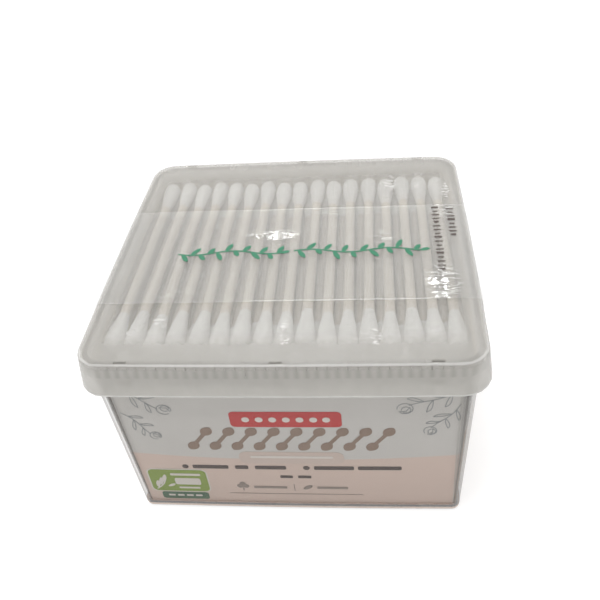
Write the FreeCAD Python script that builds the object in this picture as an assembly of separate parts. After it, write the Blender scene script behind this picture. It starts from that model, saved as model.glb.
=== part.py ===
import FreeCAD, Part

import math
import os

# Cotton swab box: a drafted clear tub with a folded card liner, a full stack of double-ended
# swabs, a snap-on lid and a clear film band that seals the lid to the tub.
# Millimetres. X runs along the long front, +Y to the back, +Z up. The origin is the middle of
# the surface that the box stands on. The front with the print faces -Y.

# Lid; its top edge is the plan from which every other outline is offset, and its depth comes
# from the length of the swabs
overall_height = 62.0
lid_width = 97.4
lid_corner = 6.5
side_bow = 0.45
lid_wall = 0.8
lid_top = 1.0
lid_edge_round = 1.2
skirt_height = 9.4
skirt_flare = 1.1

# Grip ribs inside the skirt, and the snap nubs with the slots that let them be moulded
rib_pitch = 2.34
rib_width = 0.9
rib_depth = 0.3
rib_height = 3.7
rib_clearance = 0.08
snap_spacing = 36.5
snap_width = 3.0
snap_bite = 0.25
snap_height = 1.8
snap_land = 0.4
snap_clearance = 0.05

# Marks on the lid's top: four raised pips and the sunk gate mark
pip_inset_x = 12.2
pip_inset_y = 11.3
pip_radius = 1.1
pip_height = 0.3
gate_inset = 11.5
gate_radius = 1.4
gate_depth = 0.35

# Tub
foot_inset = 4.2
tub_wall = 0.9
tub_floor = 1.0
foot_round = 1.4
foot_recess = 0.6
foot_ring = 4.0
recess_corner = 2.0
rim_band_height = 4.0
rim_band_step = 0.25

# Card liner, folded from one strip and glued under a flap at the back
card = 0.4
liner_gap = 0.3
liner_drop = 3.0
flap_width = 12.0

# Seal band of film over the lid's middle
film = 0.15
film_gap = 0.05
band_width = 41.0
band_shift = -3.4
band_tail = 14.0
band_bridge = 6.0

# Swabs, and the two rings where a cotton tip bulges: radius as a share of the full tip's
swab_length = 73.0
stick_radius = 1.25
tip_radius = 2.54
tip_length = 12.5
tip_end_radius = 1.25
tip_neck_radius = 1.5
tip_shoulder = 0.87
tip_cover = 2.0
bore_clearance = 0.03

# Stack: rows that lie in each other's hollows, and an upper row that was shaken about
swab_clearance = 0.06
end_room = 2.6
headroom = 1.0
top_pitch = 5.16
stack_shift = 0.8
tip_stagger = 0.8
front_gaps = {4: 0.8, 7: 0.5, 14: 0.3}
back_gaps = {1: 0.3, 9: 0.3, 12: 0.4}

# How far joined shapes run into each other, and how finely round shapes are faceted
overlap = 0.2
edge_turns = 3
corner_turns = 5
mark_sides = 10
hidden_sides = 6
seen_sides = 8

# Worked out from the sizes above
lid_depth = swab_length + 2 * (end_room + 2 * card + liner_gap + tub_wall + foot_inset)
rim_height = overall_height - lid_top
skirt_bottom = overall_height - skirt_height
floor_top = foot_recess + tub_floor
liner_height = rim_height - liner_drop
liner_inset = tub_wall + liner_gap
swab_contact = 2 * tip_radius + swab_clearance
hidden_reach = tip_radius / math.cos(math.pi / hidden_sides)
seen_reach = tip_radius / math.cos(math.pi / seen_sides)
lowest_row = floor_top + swab_clearance + hidden_reach
highest_row = rim_height - headroom - seen_reach
hidden_rows = math.ceil((highest_row - lowest_row) / (swab_contact * math.cos(math.pi / 6)))
row_rise = (highest_row - lowest_row) / hidden_rows
row_pitch = 2 * math.sqrt(swab_contact ** 2 - row_rise ** 2)


def vec(x, y, z):
    return FreeCAD.Vector(x, y, z)


def between(low, high, share):
    return low + (high - low) * share


def circles_meet(centre_a, radius_a, centre_b, radius_b):
    """The meeting point, with the larger x, of two circles in one level plane."""
    gap = centre_b - centre_a
    span = gap.Length
    along = (radius_a ** 2 - radius_b ** 2 + span ** 2) / (2 * span)
    across = math.sqrt(radius_a ** 2 - along ** 2)
    unit = gap / span
    foot = centre_a + unit * along
    side = vec(-unit.y, unit.x, 0)
    return max(foot + side * across, foot - side * across, key=lambda p: p.x)


# The plan: long and short sides bow outwards as arcs and run tangent into round corners.
# These are the arcs of the +x side, the +y side and the corner between them.
side_radius = ((lid_depth / 2) ** 2 + side_bow ** 2) / (2 * side_bow)
front_radius = ((lid_width / 2) ** 2 + side_bow ** 2) / (2 * side_bow)
side_centre = vec(lid_width / 2 - side_radius, 0, 0)
front_centre = vec(0, lid_depth / 2 - front_radius, 0)
corner_centre = circles_meet(side_centre, side_radius - lid_corner, front_centre, front_radius - lid_corner)


def outline(grow, z):
    """The plan's closed outline at a height, moved outwards all round by one amount."""
    to_side = math.atan2(corner_centre.y - side_centre.y, corner_centre.x - side_centre.x)
    to_front = math.atan2(corner_centre.y - front_centre.y, corner_centre.x - front_centre.x)
    radius = lid_corner + grow
    angles = [between(to_side, to_front, step / corner_turns) for step in range(corner_turns + 1)]
    corner = [corner_centre + vec(math.cos(a), math.sin(a), 0) * radius for a in angles]

    def flip(point, sx, sy):
        return vec(point.x * sx, point.y * sy, z)

    edges = []
    for sx, sy in ((1, 1), (-1, 1), (-1, -1), (1, -1)):
        points = [flip(p, sx, sy) for p in (corner if sx == sy else corner[::-1])]
        edges.extend(Part.makeLine(near, far) for near, far in zip(points, points[1:]))
        last = points[-1]
        if sx == sy:
            side = Part.Arc(last, vec(0, (lid_depth / 2 + grow) * sy, z), flip(last, -1, 1))
        else:
            side = Part.Arc(last, vec((lid_width / 2 + grow) * sx, 0, z), flip(last, 1, -1))
        edges.append(side.toBSpline().toShape())
    return Part.Wire(edges)


def loft(sections):
    """Solid through outlines, each a (grow, z) pair, with straight walls between them."""
    return Part.makeLoft([outline(grow, z) for grow, z in sections], True, True)


def one_solid(shape):
    """The single solid in a boolean result, with its split faces joined again."""
    return shape.removeSplitter().Solids[0]


def rounded(grow, z, radius, upward):
    """Sections that round an edge off, from where it leaves the wall to where it lies flat."""
    angles = [math.pi / 2 * step / edge_turns for step in range(edge_turns + 1)]
    return [(grow - radius * (1 - math.cos(a)), z + upward * radius * math.sin(a)) for a in angles]


def lid_grow(z):
    """Where the flared skirt's outer face stands at a height."""
    return skirt_flare * (overall_height - z) / skirt_height


def mouth_grow():
    """The tub's rim band fits inside the grip ribs of the lid."""
    return lid_grow(rim_height) - lid_wall - rib_depth - rib_clearance


def tub_grow(z):
    """Where the drafted tub wall's outer face stands at a height."""
    return between(-foot_inset, mouth_grow() - rim_band_step, z / rim_height)


def front_face(grow, x):
    """How far the bowed +y side stands from the middle at a place along it."""
    return front_centre.y + math.sqrt((front_radius + grow) ** 2 - x ** 2)


def side_face(grow, y):
    """How far the bowed +x side stands from the middle at a place along it."""
    return side_centre.x + math.sqrt((side_radius + grow) ** 2 - y ** 2)


def build_tub():
    """Drafted wall and floor, a raised foot ring, and the band that the lid snaps over."""
    foot = rounded(tub_grow(0), foot_round, foot_round, -1)
    body = loft(foot[::-1] + [(tub_grow(rim_height), rim_height)])
    band_low = rim_height - rim_band_height
    step_low = band_low - rim_band_step
    band = loft([(tub_grow(step_low), step_low), (mouth_grow(), band_low), (mouth_grow(), rim_height)])
    above = rim_height + overlap
    inside = loft([(tub_grow(floor_top) - tub_wall, floor_top), (tub_grow(above) - tub_wall, above)])
    width = lid_width + 2 * (tub_grow(0) - foot_ring)
    depth = lid_depth + 2 * (tub_grow(0) - foot_ring)
    recess = Part.makeBox(width, depth, foot_recess + overlap, vec(-width / 2, -depth / 2, -overlap))
    recess = recess.makeFillet(recess_corner, [e for e in recess.Edges if e.BoundBox.ZLength > foot_recess])
    return one_solid(body.fuse(band).cut([inside, recess]))


def grip_ribs():
    """Upright ribs of wedge section that stand in from the skirt to the tub's rim band."""
    low = rim_height - rib_height
    tip_grow = mouth_grow() + rib_clearance
    base_grow = lid_grow(low) - lid_wall + overlap
    ribs = []
    for reach, face, turn in ((corner_centre.x, front_face, 0), (corner_centre.y, side_face, -90)):
        count = int(reach / rib_pitch)
        for number in range(-count, count + 1):
            x = number * rib_pitch
            tip = face(tip_grow, x)
            base = face(base_grow, x)
            points = [vec(x, tip, low), vec(x + rib_width / 2, base, low), vec(x - rib_width / 2, base, low)]
            rib = Part.Face(Part.makePolygon(points + points[:1])).extrude(vec(0, 0, rib_height + overlap))
            for side in (0, 180):
                copy = rib.copy()
                copy.rotate(vec(0, 0, 0), vec(0, 0, 1), turn + side)
                ribs.append(copy)
    return ribs


def snap_places():
    return [(step * snap_spacing, side) for side in (-1, 1) for step in (-1, 0, 1)]


def snap_nubs():
    """Wedges inside the skirt that click under the tub's rim band."""
    top = rim_height - rim_band_height - rim_band_step - snap_clearance
    nubs = []
    for x, side in snap_places():
        wall = front_face(lid_grow(top) - lid_wall + overlap, x)
        tip = front_face(mouth_grow() - snap_bite, x)
        profile = [(wall, top), (tip, top), (tip, top - snap_land), (wall, top - snap_height)]
        points = [vec(x - snap_width / 2, side * y, z) for y, z in profile]
        nubs.append(Part.Face(Part.makePolygon(points + points[:1])).extrude(vec(snap_width, 0, 0)))
    return nubs


def snap_slots():
    """Slots through the lid's top straight above the nubs, left by the mould's cores."""
    slots = []
    for x, side in snap_places():
        inner = front_face(mouth_grow() - snap_bite - snap_clearance, x)
        outer = front_face(lid_grow(rim_height) - lid_wall, x)
        low_y = inner if side > 0 else -outer
        corner = vec(x - snap_width / 2, low_y, rim_height - overlap)
        slots.append(Part.makeBox(snap_width, outer - inner, lid_top + 2 * overlap, corner))
    return slots


def button(x, y, radius, height):
    """A small round button on the lid's top, or with a negative height a hollow in it."""
    foot = math.copysign(overlap, -height)
    stations = ((foot, 1.0), (0.0, 1.0), (height / 2, math.cos(math.pi / 6)), (height, 0.5))
    rings = []
    for rise, share in stations:
        ring = ring_points(radius * share, mark_sides, 0)
        rings.append([vec(x + p.x, y + p.z, overall_height + rise) for p in ring])
    return skin(rings)


def build_lid():
    """Shell with a flared skirt, a rounded top edge, grip ribs, snap nubs and their slots."""
    shoulder = overall_height - lid_edge_round
    edge = rounded(lid_grow(shoulder), shoulder, lid_edge_round, 1)
    body = loft([(lid_grow(skirt_bottom), skirt_bottom)] + edge)
    below = skirt_bottom - overlap
    inside = loft([(lid_grow(z) - lid_wall, z) for z in (below, rim_height)])
    gate = button(0, gate_inset - lid_depth / 2, gate_radius, -gate_depth)
    body = body.cut(inside).fuse(grip_ribs() + snap_nubs()).cut(snap_slots() + [gate])
    pip_x = lid_width / 2 - pip_inset_x
    pip_y = lid_depth / 2 - pip_inset_y
    pips = [button(sx * pip_x, sy * pip_y, pip_radius, pip_height) for sx in (-1, 1) for sy in (-1, 1)]
    return one_solid(body.fuse(pips))


def build_liner():
    """One card strip folded round the inside of the tub, with its glue flap inside the back."""
    def sleeve(inset):
        return loft([(tub_grow(z) - inset, z) for z in (floor_top, liner_height)])

    strip = sleeve(liner_inset).cut(sleeve(liner_inset + card))
    lining = sleeve(liner_inset + card).cut(sleeve(liner_inset + 2 * card))
    window = Part.makeBox(flap_width, lid_depth, liner_height, vec(-corner_centre.x, 0, 0))
    return one_solid(strip.fuse(lining.common(window)))


def build_band():
    """A strip of film from one side of the tub, over the skirt and lid, to the other side."""
    def path(gap):
        tail_top = skirt_bottom - band_bridge
        tail_end = tail_top - band_tail
        shoulder = overall_height - lid_edge_round
        radius = lid_edge_round + gap
        centre = vec(lid_width / 2 + lid_grow(shoulder) - lid_edge_round, 0, shoulder)
        return [vec(lid_width / 2 + tub_grow(tail_end) + gap, 0, tail_end),
                vec(lid_width / 2 + tub_grow(tail_top) + gap, 0, tail_top),
                vec(lid_width / 2 + lid_grow(skirt_bottom) + gap, 0, skirt_bottom),
                centre + vec(radius, 0, 0),
                centre + vec(radius, 0, radius) * math.sqrt(0.5),
                centre + vec(0, 0, radius)]

    def half(points):
        foot, wall, skirt, side, mid, flat = points
        return [Part.makeLine(foot, wall), Part.makeLine(wall, skirt), Part.makeLine(skirt, side),
                Part.Arc(side, mid, flat).toShape()]

    def mirrored(points):
        return [vec(-p.x, 0, p.z) for p in points]

    inner = path(film_gap)
    outer = path(film_gap + film)
    edges = half(inner) + half(outer) + half(mirrored(inner)) + half(mirrored(outer))
    for points in (inner, outer):
        edges.append(Part.makeLine(points[-1], mirrored(points)[-1]))
    edges.append(Part.makeLine(inner[0], outer[0]))
    edges.append(Part.makeLine(mirrored(inner)[0], mirrored(outer)[0]))
    face = Part.Face(Part.Wire(Part.__sortEdges__(edges)))
    face.translate(vec(0, band_shift - band_width / 2, 0))
    return face.extrude(vec(0, band_width, 0))


def ring_points(radius, sides, at):
    """Corners of a regular section whose flats lie at this radius, across the y axis."""
    reach = radius / math.cos(math.pi / sides)
    turn = math.pi / 2 if sides % 4 else math.pi / sides
    angles = [turn + 2 * math.pi * n / sides for n in range(sides)]
    return [vec(reach * math.cos(a), at, reach * math.sin(a)) for a in angles]


def skin(rings):
    """Closed solid through rings of corners, with a flat cap on each end."""
    faces = []
    for near, far in zip(rings, rings[1:]):
        for n in range(len(near)):
            m = (n + 1) % len(near)
            faces.append(Part.Face(Part.makePolygon([near[n], near[m], far[m], far[n], near[n]])))
    for cap in (rings[0], rings[-1]):
        faces.append(Part.Face(Part.makePolygon(cap + cap[:1])))
    solid = Part.Solid(Part.Shell(faces))
    if solid.Volume < 0:
        solid.reverse()
    return solid


def plain_swab():
    """A hidden swab in few faces: flared tips and stick in one."""
    end = swab_length / 2
    neck = end - tip_length
    stations = ((-end, tip_radius), (-neck, stick_radius), (neck, stick_radius), (end, tip_radius))
    return skin([ring_points(radius, hidden_sides, at) for at, radius in stations])


def cotton_tip(side):
    """A wound cotton tip with the blind bore that the stick's end sits in."""
    end = swab_length / 2
    neck = end - tip_length
    shoulder = tip_shoulder * tip_radius
    profile = ((neck, tip_neck_radius), (between(neck, end, 0.3), shoulder), (between(neck, end, 0.6), tip_radius),
               (end - tip_end_radius, shoulder), (end, tip_end_radius))
    outer = skin([ring_points(radius, seen_sides, side * at) for at, radius in profile])
    bore = skin([ring_points(stick_radius + bore_clearance, seen_sides, side * at)
                 for at in (neck - overlap, end - tip_cover)])
    return one_solid(outer.cut(bore))


def paper_stick():
    reach = swab_length / 2 - tip_cover - bore_clearance
    return skin([ring_points(stick_radius, seen_sides, at) for at in (-reach, reach)])


def laid(shape, front, back, shift):
    """The shape laid from its front place to its back place, each an (x, z) pair at a tip."""
    span = swab_length - tip_length
    turn = math.degrees(math.atan2(front[0] - back[0], span))
    lift = math.degrees(math.atan2(back[1] - front[1], span))
    moved = shape.copy()
    moved.rotate(vec(0, 0, 0), vec(1, 0, 0), lift)
    moved.rotate(vec(0, 0, 0), vec(0, 0, 1), turn)
    moved.translate(vec((front[0] + back[0]) / 2, shift, (front[1] + back[1]) / 2))
    return moved


def slid(number):
    """How far a swab lies to the back of the box: uneven from one to the next, but repeatable."""
    return stack_shift + tip_stagger * math.sin(2.3 * number)


def row_room(height, reach):
    """How far from the middle a swab of this reach can lie between the liner's walls."""
    wall = side_face(tub_grow(height) - liner_inset - card, swab_length / 2)
    return wall - swab_clearance - reach


def hidden_row(row):
    """Height and swab centres of a hidden row, as many as fit; each lies in the hollows below."""
    height = lowest_row + row * row_rise
    shift = row_pitch / 2 * (row % 2)
    count = int((row_room(height, hidden_reach) - shift) / row_pitch)
    places = [shift + row_pitch * n for n in range(count + 1)]
    return height, sorted(set(places + [-x for x in places]))


def top_row(gaps):
    """Places of the top row's tips at one end, with the loose gaps added to the pitch."""
    loose = max(sum(front_gaps.values()), sum(back_gaps.values()))
    room = row_room(highest_row - row_rise, seen_reach)
    count = 1 + int((2 * room - loose) / top_pitch)
    places = [0.0]
    for number in range(1, count):
        places.append(places[-1] + top_pitch + gaps.get(number, 0.0))
    middle = places[-1] / 2
    return [place - middle for place in places]


def resting_height(x, row_height, row):
    """How high a swab's tip lies when it comes down on a row of tips, or else beside its last one."""
    gap = min([swab_contact] + [abs(x - other) for other in row])
    return row_height + math.sqrt(swab_contact ** 2 - gap ** 2)


def build_swabs():
    """Each hidden row is one group; in the top row sticks and cotton are groups per swab."""
    groups = {}
    for row in range(hidden_rows):
        height, places = hidden_row(row)
        groups["swabs_layer_%02d" % (row + 1)] = [
            laid(plain_swab(), (x, height), (x, height), slid(n + row)) for n, x in enumerate(places)]
    under = hidden_row(hidden_rows - 1)
    for number, (front_x, back_x) in enumerate(zip(top_row(front_gaps), top_row(back_gaps))):
        front = (front_x, resting_height(front_x, *under))
        back = (back_x, resting_height(back_x, *under))
        name = "top_swab_%02d_" % (number + 1)
        groups[name + "stick"] = [laid(paper_stick(), front, back, slid(number))]
        groups[name + "cotton"] = [laid(cotton_tip(side), front, back, slid(number)) for side in (-1, 1)]
    return groups


def main():
    pieces = {
        "tub": [build_tub()],
        "lid": [build_lid()],
        "card_liner": [build_liner()],
        "seal_band": [build_band()],
    }
    pieces.update(build_swabs())
    os.makedirs("parts", exist_ok=True)
    for name, solids in pieces.items():
        shape = solids[0] if len(solids) == 1 else Part.makeCompound(solids)
        shape.exportStep("parts/%s.step" % name)
        print(name, len(solids), "solids", round(sum(s.Volume for s in solids), 2), "mm3",
              "valid" if shape.isValid() else "NOT VALID")


main()
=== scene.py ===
"""Cotton swab box: the looks of a clear tub with a card liner, swabs, a snap lid and a film band."""
import logging
import math
from dataclasses import dataclass
from enum import Enum
from typing import Callable, Optional, Sequence

import bmesh
import bpy
from mathutils import Matrix, Vector, noise


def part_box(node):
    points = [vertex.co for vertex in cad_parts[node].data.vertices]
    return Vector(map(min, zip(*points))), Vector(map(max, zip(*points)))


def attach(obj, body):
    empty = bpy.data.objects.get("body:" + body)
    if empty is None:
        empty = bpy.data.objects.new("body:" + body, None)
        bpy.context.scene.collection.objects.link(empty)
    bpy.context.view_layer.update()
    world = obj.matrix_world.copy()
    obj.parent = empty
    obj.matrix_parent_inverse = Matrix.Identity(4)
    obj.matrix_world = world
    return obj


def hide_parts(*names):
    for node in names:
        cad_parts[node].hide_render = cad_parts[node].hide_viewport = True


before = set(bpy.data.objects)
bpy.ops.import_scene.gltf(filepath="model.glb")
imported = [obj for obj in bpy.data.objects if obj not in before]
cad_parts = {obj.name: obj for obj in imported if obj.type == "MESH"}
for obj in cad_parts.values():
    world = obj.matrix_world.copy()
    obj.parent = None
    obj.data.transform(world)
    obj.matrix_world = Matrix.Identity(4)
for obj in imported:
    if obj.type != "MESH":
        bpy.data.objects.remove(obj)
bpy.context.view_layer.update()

log = logging.getLogger("swab_box")

MM = 0.001
Colour = tuple[float, float, float]
Point = tuple[float, float]
Surface = Callable[[float, float], Vector]


# Shader nodes written as expressions


class Wire:
    """A socket whose maths is written with Python's operators."""

    def __init__(self, tree: "Tree", socket: bpy.types.NodeSocket) -> None:
        """Wraps an output socket of a tree."""
        self.tree = tree
        self.socket = socket

    def _math(self, operation: str, *values: object) -> "Wire":
        """The result of a Math node on these values."""
        return self.tree.add("ShaderNodeMath", {"operation": operation}, dict(enumerate(values)))

    def __add__(self, other: object) -> "Wire":
        """Sum."""
        return self._math("ADD", self, other)

    __radd__ = __add__

    def __mul__(self, other: object) -> "Wire":
        """Product."""
        return self._math("MULTIPLY", self, other)

    __rmul__ = __mul__

    def __sub__(self, other: object) -> "Wire":
        """Difference."""
        return self._math("SUBTRACT", self, other)

    def __rsub__(self, other: object) -> "Wire":
        """Difference the other way round."""
        return self._math("SUBTRACT", other, self)

    def __truediv__(self, other: object) -> "Wire":
        """Quotient."""
        return self._math("DIVIDE", self, other)

    def __pow__(self, other: object) -> "Wire":
        """Power."""
        return self._math("POWER", self, other)

    def size(self) -> "Wire":
        """The value without its sign."""
        return self._math("ABSOLUTE", self)

    def most(self, other: object) -> "Wire":
        """The greater of two values."""
        return self._math("MAXIMUM", self, other)

    def waves(self, period: float) -> "Wire":
        """Even waves from 0 to 1 of this period."""
        return 0.5 + 0.5 * self._math("COSINE", self * (2 * math.pi / period))

    def step(self, low: float, high: float) -> "Wire":
        """A smooth change from 0 at low to 1 at high."""
        return self.tree.add("ShaderNodeMapRange", {"interpolation_type": "SMOOTHSTEP"},
                             {"Value": self, "From Min": low, "From Max": high})


class Tree:
    """The node tree of one new material."""

    def __init__(self, name: str) -> None:
        """Makes the material and keeps its Principled shader.

        Args:
            name: the material's name.
        """
        self.material = bpy.data.materials.new(name)
        self.material.use_nodes = True
        self.nodes = self.material.node_tree.nodes
        self.links = self.material.node_tree.links
        self.shader = self.nodes["Principled BSDF"]
        self.surface = self.nodes["Material Output"].inputs["Surface"]

    def add(self, kind: str, settings: Optional[dict] = None, inputs: Optional[dict] = None,
            output: object = 0) -> Wire:
        """Adds a node, sets it up and gives one of its outputs.

        Args:
            kind: the node's type.
            settings: its properties.
            inputs: values or wires for its sockets, by name or number.
            output: name or number of the output to give.

        Returns:
            The wrapped output socket.
        """
        node = self.nodes.new(kind)
        for key, value in (settings or {}).items():
            setattr(node, key, value)
        for key, value in (inputs or {}).items():
            self.feed(node.inputs[key], value)
        return Wire(self, node.outputs[output])

    def feed(self, socket: bpy.types.NodeSocket, value: object) -> None:
        """Links a wire to a socket, or sets the socket to a value.

        Args:
            socket: the input socket.
            value: a wire, or the socket's value.
        """
        if isinstance(value, Wire):
            self.links.new(value.socket, socket)
        else:
            socket.default_value = value

    def place(self) -> tuple[Wire, Wire, Wire, Wire]:
        """Object coordinates in millimetres: the vector and its x, y and z."""
        raw = self.add("ShaderNodeTexCoord", output="Object")
        vector = self.add("ShaderNodeVectorMath", {"operation": "SCALE"}, {0: raw, "Scale": 1 / MM})
        x, y, z = [self.add("ShaderNodeSeparateXYZ", inputs={0: vector}, output=axis) for axis in "XYZ"]
        return vector, x, y, z

    def normal(self) -> list[Wire]:
        """The object normal's x, y and z."""
        raw = self.add("ShaderNodeTexCoord", output="Normal")
        return [self.add("ShaderNodeSeparateXYZ", inputs={0: raw}, output=axis) for axis in "XYZ"]

    def noise(self, vector: Wire, scale: float, detail: float = 2.0, roughness: float = 0.5) -> Wire:
        """Noise from 0 to 1 with this many features per unit of the vector."""
        return self.add("ShaderNodeTexNoise", inputs={"Vector": vector, "Scale": scale, "Detail": detail,
                                                      "Roughness": roughness})

    def stretched(self, vector: Wire, scale: Sequence[float]) -> Wire:
        """The vector multiplied axis by axis."""
        return self.add("ShaderNodeVectorMath", {"operation": "MULTIPLY"}, {0: vector, 1: tuple(scale)})

    def distance(self, vector: Wire, point: Sequence[float], squeeze: Sequence[float]) -> Wire:
        """Distance from a point, with each axis scaled."""
        moved = self.add("ShaderNodeVectorMath", {"operation": "SUBTRACT"}, {0: vector, 1: tuple(point)})
        return self.add("ShaderNodeVectorMath", {"operation": "LENGTH"}, {0: self.stretched(moved, squeeze)},
                        "Value")

    def blend(self, factor: object, first: object, second: object) -> Wire:
        """A mix of two colours.

        Args:
            factor: 0 for the first colour, 1 for the second.
            first: a colour, or a wire.
            second: a colour, or a wire.

        Returns:
            The mixed colour.
        """
        def rgba(value: object) -> object:
            """A colour with its alpha."""
            return value if isinstance(value, Wire) else (*value, 1.0)

        return self.add("ShaderNodeMix", {"data_type": "RGBA"},
                        {0: factor, 6: rgba(first), 7: rgba(second)}, 2)

    def bump(self, height: Wire, depth: float, strength: float = 1.0) -> Wire:
        """A bumped normal; height from 0 to 1 stands for this depth in millimetres."""
        return self.add("ShaderNodeBump", inputs={"Height": height, "Distance": depth * MM, "Strength": strength})

    def set(self, **sockets: object) -> bpy.types.Material:
        """Feeds the Principled shader's sockets, named with underscores for spaces.

        Args:
            sockets: values or wires by socket name.

        Returns:
            The material.
        """
        for key, value in sockets.items():
            if isinstance(value, tuple) and len(value) == 3:
                value = (*value, 1.0)
            self.feed(self.shader.inputs[key.replace("_", " ")], value)
        return self.material


# Finishes


@dataclass(frozen=True)
class ClearPlastic:
    """Hazy moulded polypropylene, which looks thicker where it is seen edge on."""
    name: str
    colour: Colour
    haze: float
    edge_haze: float
    edge_power: float
    blur: float
    roughness: float
    gloss: float = 0.5
    rim_from: float = 52.8
    foot_to: float = 1.9
    # Height below which a painted dark shadow lines the bottom edge of the tub.
    sole_shadow_to: float = 0.45

    def make(self) -> bpy.types.Material:
        """Builds the material.

        Returns:
            The material.
        """
        tree = Tree(self.name)
        vector = tree.place()[0]
        cloud = tree.noise(vector, 0.05, 3.0)
        flow = tree.noise(tree.stretched(vector, (0.35, 0.06, 0.2)), 1.0, 3.0)
        grain = tree.noise(vector, 2.2, 2.0)
        facing = tree.add("ShaderNodeLayerWeight", inputs={"Blend": 0.35}, output="Facing")
        mottled = tree.blend(cloud, tuple(c * 0.94 for c in self.colour), self.colour)
        thick, power, tinted = self.thickness(tree, mottled)
        haze = thick + (self.edge_haze - thick) * facing ** power
        return tree.set(
            Base_Color=tinted,
            Alpha=haze * (0.93 + 0.14 * flow),
            Roughness=self.roughness + 0.12 * (cloud - 0.5) + 0.05 * (grain - 0.5),
            Normal=tree.bump(grain + 0.8 * flow, 0.012, 0.35),
            IOR=1.49,
            Specular_IOR_Level=self.gloss,
            Transmission_Weight=self.blur)

    def thickness(self, tree: Tree, plain: Wire) -> tuple[Wire, object, Wire]:
        """Where the plastic looks denser, and what colour it takes round its foot: the card's colours, brightened
        as painted light, above a painted dark shadow along the bottom edge.

        Args:
            tree: the material's tree.
            plain: the plastic's own colour.

        Returns:
            The haze face on, the power by which it grows edge on, and the colour.
        """
        _, _, _, z = tree.place()
        across, deep, _ = tree.normal()
        corner = (across * deep).size().step(0.08, 0.22)
        rim = (z - self.rim_from).step(0.0, 1.0)
        foot = (self.foot_to - z).step(-0.15, 0.15)
        # Painted shadow: the lowest band of the tub is painted dark where it meets the floor.
        sole_shadow = (self.sole_shadow_to - z).step(-0.1, 0.1)
        # The card's colours round the foot, painted brighter than the card's own to offset the shade on the
        # rounded foot: painted light.
        card = tree.blend(across.size().step(0.6, 0.8), (0.86, 0.70, 0.61), (0.60, 0.34, 0.15))
        return (self.haze + 0.72 * foot + (0.5 * rim).most(0.2 * corner) * (1 - foot),
                self.edge_power - 0.8 * corner,
                tree.blend(foot, plain, tree.blend(sole_shadow, card, (0.15, 0.13, 0.12))))


@dataclass(frozen=True)
class LidPlastic(ClearPlastic):
    """The lid's plastic: denser in its skirt and round its border, with painted highlights along its moulded
    edges and painted glints in small streaked patches.
    """
    wall_haze: float = 0.50
    border_haze: float = 0.33
    wall_top: float = 60.8
    skirt_bottom: float = 52.6
    half_width: float = 48.7
    half_depth: float = 45.3
    rib_pitch: float = 2.34
    # Patches of painted glints, as place x, place y, reach x and reach y in millimetres.
    painted_glints: tuple[tuple[float, float, float, float], ...] = (
        (1.3, -36.8, 1.7, 2.4), (0.9, -31.6, 1.5, 2.0), (27.7, 30.1, 2.6, 4.6), (22.8, -36.0, 1.6, 3.4),
        (36.2, 28.7, 1.5, 1.3), (43.8, 24.5, 1.5, 5.5), (-30.2, -30.4, 2.6, 1.6))

    def thickness(self, tree: Tree, plain: Wire) -> tuple[Wire, object, Wire]:
        """Where the lid looks denser, and where painted highlights and glints brighten it.

        Args:
            tree: the material's tree.
            plain: the plastic's own colour.

        Returns:
            The haze face on, the power by which it grows edge on, and the colour.
        """
        vector, x, y, z = tree.place()
        wall = (self.wall_top - z).step(-0.5, 0.5)
        near_front = (y.size() - self.half_depth).step(-14.0, -4.5)
        near_side = (x.size() - self.half_width).step(-7.5, -3.5)
        up = tree.normal()[2]
        # Painted highlight along the rounded top edge, and along the skirt's bottom edge below.
        edge = up.step(0.5, 0.7) * (1 - up.step(0.85, 0.97)) * (z - 60.0).step(0.0, 0.5)
        lip = (self.skirt_bottom + 0.45 - z).step(0.0, 0.2)
        ribs = x.waves(self.rib_pitch) * (z - 58.0).step(0.0, 0.5) * wall
        near = edge * 0.0
        for place_x, place_y, reach_x, reach_y in self.painted_glints:
            away = tree.distance(vector, (place_x, place_y, 62.0), (1 / reach_x, 1 / reach_y, 0.3))
            near = near.most(1 - away.step(0.6, 1.0))
        # Painted glints: bright streaks inside the listed patches.
        streaks = tree.noise(tree.stretched(vector, (0.55, 1.9, 1.0)), 1.0, 3.0, 0.6)
        glint_streaks = near * streaks.step(0.54, 0.60)
        # Every painted highlight and glint, which raises the haze and whitens the colour.
        bright = edge.most(lip).most(glint_streaks)
        return (self.haze + self.wall_haze * wall + self.border_haze * near_front.most(near_side) * (1 - wall)
                + 0.2 * bright + 0.55 * glint_streaks - 0.10 * ribs, self.edge_power,
                tree.blend((0.8 * bright).most(glint_streaks), plain, (0.92, 0.91, 0.89)))


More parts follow.
